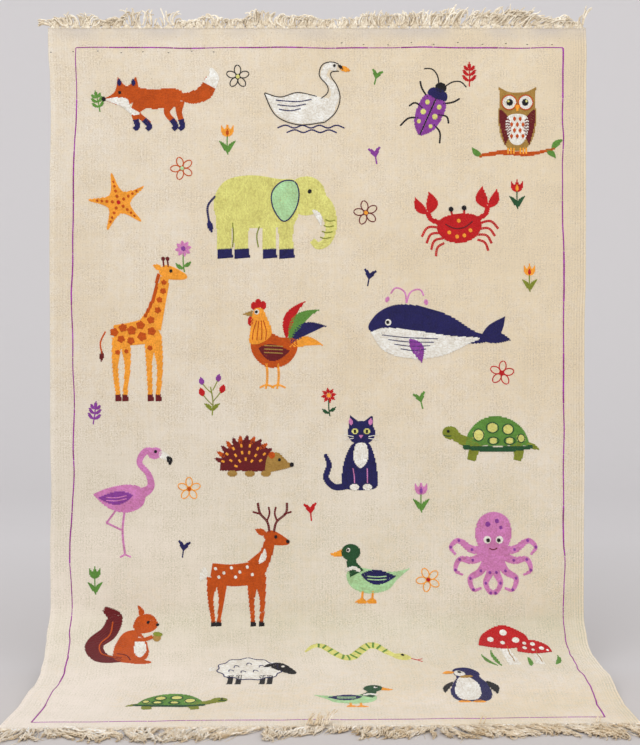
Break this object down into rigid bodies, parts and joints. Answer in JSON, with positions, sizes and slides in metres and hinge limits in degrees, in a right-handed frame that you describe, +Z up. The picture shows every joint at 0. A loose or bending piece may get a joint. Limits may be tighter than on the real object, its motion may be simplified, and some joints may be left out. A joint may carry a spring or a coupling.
{
  "type": "embroidered kilim",
  "caption": "Flat-woven cream kilim with embroidered motifs, a thin border line and fringed ends, hung by its upper end and swept out over the floor.",
  "frame": {"origin": "middle of the upper woven end, halfway through the cloth", "axes": "+Z up, the embroidered face looks along -Y, +X to the right as seen from the front"},
  "size_m": [1.2405, 0.55, 1.4913],
  "materials": {
    "ground": "matte cream flat weave with fine ribs, embroidered in coloured yarn",
    "fringe_top": "matte beige twisted warp ends",
    "fringe_bottom": "matte beige twisted warp ends",
    "embroidery": "matte wool yarn in red, orange, green, navy, mauve and off-white"
  },
  "bodies": {
    "root": {"kilim_ground": "ground", "fringe_top": "fringe_top", "fringe_bottom": "fringe_bottom"}
  },
  "joints": []
}
